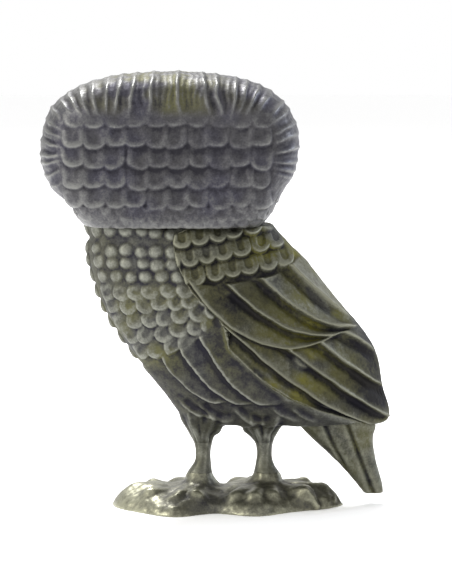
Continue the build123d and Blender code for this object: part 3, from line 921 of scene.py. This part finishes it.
def cast_pewter(name, hollow, middle, crest, wax, wax_share, rough=(0.72, 0.50), grain=0.10):
    """Cast pewter, blackened and rubbed back. The dark patina stays in the hollows, the
    crests are bare and smoother, and a thin olive wax film lies in soft patches. The patina
    attribute also carries painted light and shade. rough is the roughness in the hollows and
    on the crests, and grain is how deep the cast grain is in millimetres."""
    material = bpy.data.materials.new(name)
    material.use_nodes = True
    tree = material.node_tree
    tree.nodes.clear()
    place = node(tree, "TexCoord").outputs["Object"]
    fine = node(tree, "Attribute", {"attribute_name": "fine_relief"}).outputs["Fac"]
    broad = node(tree, "Attribute", {"attribute_name": "broad_relief"}).outputs["Fac"]
    patches = node(tree, "TexNoise", {}, {
        "Vector": place, "Scale": repeats(RUBBED_PATCH), "Detail": 3.0, "Roughness": 0.65})
    specks = node(tree, "TexNoise", {}, {
        "Vector": place, "Scale": repeats(CAST_GRAIN), "Detail": 2.0, "Roughness": 0.7})
    # This attribute holds the patina together with painted light and shade.
    patina_and_painted_light = node(tree, "Attribute", {"attribute_name": "patina_and_painted_light"}).outputs["Fac"]
    wax_film = node(tree, "Attribute", {"attribute_name": "wax_film"}).outputs["Fac"]

    # Each part times its weight is added to the ones before; 0.50 is the metal's middle tone.
    # rubbed also carries the painted light and shade from the patina attribute.
    rubbed = 0.50 - PATCH_WEIGHT / 2 - GRAIN_WEIGHT / 2
    parts = [
        (fine, FINE_WEIGHT), (broad, BROAD_WEIGHT), (patina_and_painted_light, PATINA_AND_LIGHT_WEIGHT),
        (patches.outputs["Fac"], PATCH_WEIGHT), (specks.outputs["Fac"], GRAIN_WEIGHT),
    ]
    for part, weight in parts:
        added = node(tree, "Math", {"operation": "MULTIPLY_ADD"}, {0: part, 1: weight, 2: rubbed})
        rubbed = added.outputs[0]
    colour = node(tree, "ValToRGB", {}, {"Fac": rubbed}, [(0.12, hollow), (0.50, middle), (0.92, crest)])

    # The wax lies in patches, thinnest in the deepest hollows and on the bare crests.
    film = node(tree, "TexNoise", {}, {"Vector": place, "Scale": repeats(WAX_PATCH), "Detail": 2.0})
    film = node(tree, "ValToRGB", {}, {"Fac": film.outputs["Fac"]}, [(0.37, 0.0), (0.56, 1.0)])
    lying = node(tree, "ValToRGB", {}, {"Fac": rubbed}, [(0.15, 0.2), (0.45, 1.0), (0.80, 0.1)])
    share = film.outputs["Color"]
    for factor in (lying.outputs["Color"], wax_film, wax_share):
        share = node(tree, "Math", {"operation": "MULTIPLY"}, {0: share, 1: factor}).outputs[0]
    colour = node(tree, "Mix", {"data_type": "RGBA"}, {
        "Factor": share, 6: colour.outputs["Color"], 7: linear(wax)})

    roughness = node(tree, "MapRange", {}, {
        "Value": rubbed, "From Min": 0.2, "From Max": 0.9, "To Min": rough[0], "To Max": rough[1]})
    bump = node(tree, "Bump", {}, {
        "Strength": 0.5, "Distance": grain * MM, "Height": specks.outputs["Fac"]})
    shader = node(tree, "BsdfPrincipled", {}, {
        "Base Color": colour.outputs[2], "Roughness": roughness.outputs[0],
        "Metallic": 0.9, "Normal": bump.outputs["Normal"]})
    node(tree, "OutputMaterial", {}, {"Surface": shader.outputs[0]})
    return material


def drawn_brass(name):
    """Brass rod, drawn and left bare: yellow and fairly bright, dulled by small brown stains."""
    material = bpy.data.materials.new(name)
    material.use_nodes = True
    tree = material.node_tree
    tree.nodes.clear()
    place = node(tree, "TexCoord").outputs["Object"]
    stain = node(tree, "TexNoise", {}, {"Vector": place, "Scale": repeats(BRASS_STAIN), "Detail": 3.0})
    stain = stain.outputs["Fac"]
    colour = node(tree, "ValToRGB", {}, {"Fac": stain}, [(0.35, "#7a5c2e"), (0.65, "#b8964f")])
    roughness = node(tree, "MapRange", {}, {"Value": stain, "To Min": 0.55, "To Max": 0.30})
    shader = node(tree, "BsdfPrincipled", {}, {
        "Base Color": colour.outputs["Color"], "Roughness": roughness.outputs[0], "Metallic": 1.0})
    node(tree, "OutputMaterial", {}, {"Surface": shader.outputs[0]})
    return material


def pale_ground(name):
    """Plain matt white, to catch the shadow."""
    material = bpy.data.materials.new(name)
    material.use_nodes = True
    shader = material.node_tree.nodes["Principled BSDF"]
    shader.inputs["Base Color"].default_value = linear("#fdfdfd")
    shader.inputs["Roughness"].default_value = 0.9
    return material


# One metal in six tones. The colours are the hollows', the middle, the crests' and the
# wax's, and the number is how much wax there is. The head's darker tone is painted shade,
# and the base's paler tone painted light.
# The head is darker, a painted shade, with a violet cast, and its quills are a brighter grey.
shaded_head_metal = cast_pewter("cast_pewter_head_shaded", "#2b2a31", "#45444c", "#70706e", "#5c5b38", 0.85,
                         rough=(0.70, 0.42))
# The body is a plain middle grey, and the raised beads of its breast are paler.
body_metal = cast_pewter("cast_pewter_body", "#2e2d35", "#52524e", "#82837a", "#5e5d38", 0.8)
# The wings are darkest, with the most olive wax.
wing_metal = cast_pewter("cast_pewter_wings", "#1f1e24", "#41413c", "#757567", "#6a6729", 0.95)
# The legs are an even grey, a little smoother than the body.
leg_metal = cast_pewter("cast_pewter_legs", "#32313a", "#5a5a54", "#86867a", "#5e5d40", 0.7,
                        rough=(0.6, 0.42))
# The base is palest, a painted light, with a soft shine and little grain.
lit_base_metal = cast_pewter("cast_pewter_base_lit", "#302f36", "#605f56", "#a3a28c", "#6a6848", 0.5,
                         rough=(0.55, 0.30), grain=0.04)
# The eyes and the beak are burnished.
eye_metal = cast_pewter("cast_pewter_eyes", "#262529", "#464544", "#80807a", "#4c4b3a", 0.4,
                        rough=(0.5, 0.3))
# The pins are the one other metal.
pin_metal = drawn_brass("drawn_brass_pins")


# ---------------------------------------------------------------- the pieces

# A plane that a casting is cut at: a point on it, and the way that is cut off.
LEFT, RIGHT, NEAR, FAR, DOWN, UP = (-1, 0, 0), (1, 0, 0), (0, -1, 0), (0, 1, 0), (0, 0, -1), (0, 0, 1)
FILLER_BOTTOM_Z = 17.3            # the trunk's hollow is filled above the thighs
seam = (0, FACE_SEAM_Y, 0)
neck = (0, 0, NECK_Z)
hip = (0, 0, THIGH_Z)
ankle = (0, 0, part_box("foot_base")[1].z / MM)
middle = (0, 0, 0)
between_legs = (sum(LEGS_X) / 2, 0, 0)

head_nodes = ["head_rear_shell", "face_mask"]
head_points, _ = cad_mesh(head_nodes)
head = sculpt(head_nodes, BODY_SKIN, head_depth, head_finish_and_painted_light, hull(head_points, HEAD_FILLER),
              HEAD_PULLS)
casting("head_back", head, shaded_head_metal, ["head_rear_shell"], [(seam, FAR), (neck, DOWN)])
casting("face", head, shaded_head_metal, ["face_mask"], [(seam, NEAR), (neck, DOWN)])

body_nodes = ["body_near_half", "body_far_half"]
trunk_points, _ = cad_mesh(body_nodes)
trunk_points = [point for point in trunk_points if point.z > FILLER_BOTTOM_Z]
figure = sculpt(body_nodes + ["front_leg", "rear_leg", "foot_base"], BODY_SKIN, figure_depth,
                figure_finish_and_painted_light, hull(trunk_points, TRUNK_FILLER), FIGURE_PULLS, figure_worn)
figure_pieces = [
    ("body_near", body_metal, "body_casting", "body_near_half", [(hip, DOWN), (neck, UP), (middle, FAR)]),
    ("body_far", body_metal, "body_casting", "body_far_half", [(hip, DOWN), (neck, UP), (middle, NEAR)]),
    ("leg_front", leg_metal, "leg_casting", "front_leg", [(hip, UP), (ankle, DOWN), (between_legs, RIGHT)]),
    ("leg_rear", leg_metal, "leg_casting", "rear_leg", [(hip, UP), (ankle, DOWN), (between_legs, LEFT)]),
    ("base_with_feet", lit_base_metal, "base_casting", "foot_base", [(ankle, UP)]),
]
for name, material, slot, cad_node, cuts in figure_pieces:
    casting(name, figure, material, [cad_node], cuts)

for name, side in (("near", -1), ("far", 1)):
    wing = sculpt([f"{name}_wing"], WING_SKIN, wing_depth(side), wing_finish_and_painted_light)
    casting(f"wing_{name}", wing, wing_metal, [f"{name}_wing"])
tail = sculpt(["tail"], TAIL_SKIN, tail_depth, tail_finish, pulls=TAIL_PULLS)
casting("tail_fan", tail, wing_metal, ["tail"])
for name, place in (("right_eye", EYES[0]), ("left_eye", EYES[1])):
    eye = sculpt([name], EYE_SKIN, eye_depth(place), plain_finish)
    casting(f"{name}_dome", eye, eye_metal, [name])
beak = sculpt(["beak"], BEAK_SKIN, beak_depth, plain_finish)
casting("hooked_beak", beak, eye_metal, ["beak"])

# The plug, the dowels and the wings' pins stay as the CAD made them.
for name, material in (("neck_plug", body_metal), ("body_dowels", pin_metal),
                       ("near_wing_pins", pin_metal), ("far_wing_pins", pin_metal)):
    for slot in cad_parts[name].material_slots:
        slot.material = material


# ---------------------------------------------------------------- floor, lights, camera

FLOOR_HALF = 3.0                  # metres
mesh = bpy.data.meshes.new("ground")
corners = [(-1, -1), (1, -1), (1, 1), (-1, 1)]
mesh.from_pydata([(x * FLOOR_HALF, y * FLOOR_HALF, 0) for x, y in corners], [], [(0, 1, 2, 3)])
ground = bpy.data.objects.new("ground", mesh)
ground.data.materials.append(pale_ground("pale_ground"))
bpy.context.scene.collection.objects.link(ground)


def soft_light(name, place, target, size, power, colour):
    """A round lamp. Its place, target and size are in metres and its power is in watts."""
    light = bpy.data.lights.new(name, "AREA")
    light.shape = "DISK"
    light.size = size
    light.energy = power
    light.color = linear(colour)[:3]
    thing = bpy.data.objects.new(name, light)
    thing.location = place
    thing.rotation_euler = (Vector(target) - Vector(place)).to_track_quat("-Z", "Y").to_euler()
    bpy.context.scene.collection.objects.link(thing)


soft_light("overhead_behind", (-0.15, 0.45, 0.85), (0, 0, 0.05), 0.30, 10.0, "#ffffff")
soft_light("left_front", (-0.75, -0.45, 0.45), (0, 0, 0.04), 0.5, 4.5, "#fffdf4")
soft_light("right_behind", (0.7, 0.3, 0.3), (0, 0, 0.04), 0.3, 2.0, "#dfe8ff")

world = bpy.data.worlds.new("white_room")
world.use_nodes = True
world.node_tree.nodes["Background"].inputs["Color"].default_value = (1.0, 1.0, 1.0, 1.0)
world.node_tree.nodes["Background"].inputs["Strength"].default_value = 1.0
bpy.context.scene.world = world
bpy.context.scene.view_settings.view_transform = "Standard"

camera = bpy.data.objects.new("camera", bpy.data.cameras.new("camera"))
SENSOR_MM = 36.0
LENS_MM = 156.0
CAMERA_RISE = math.radians(6.0)
CAMERA_AWAY = 0.5                 # metres
camera.data.sensor_width = SENSOR_MM
camera.data.lens = LENS_MM
target = Vector((-0.0003, 0.0, 0.0426))    # metres
back = Vector((0, -math.cos(CAMERA_RISE), math.sin(CAMERA_RISE)))
camera.location = target + back * CAMERA_AWAY
camera.rotation_euler = (-back).to_track_quat("-Z", "Y").to_euler()
camera.data.clip_start = 0.01
bpy.context.scene.collection.objects.link(camera)
bpy.context.scene.camera = camera
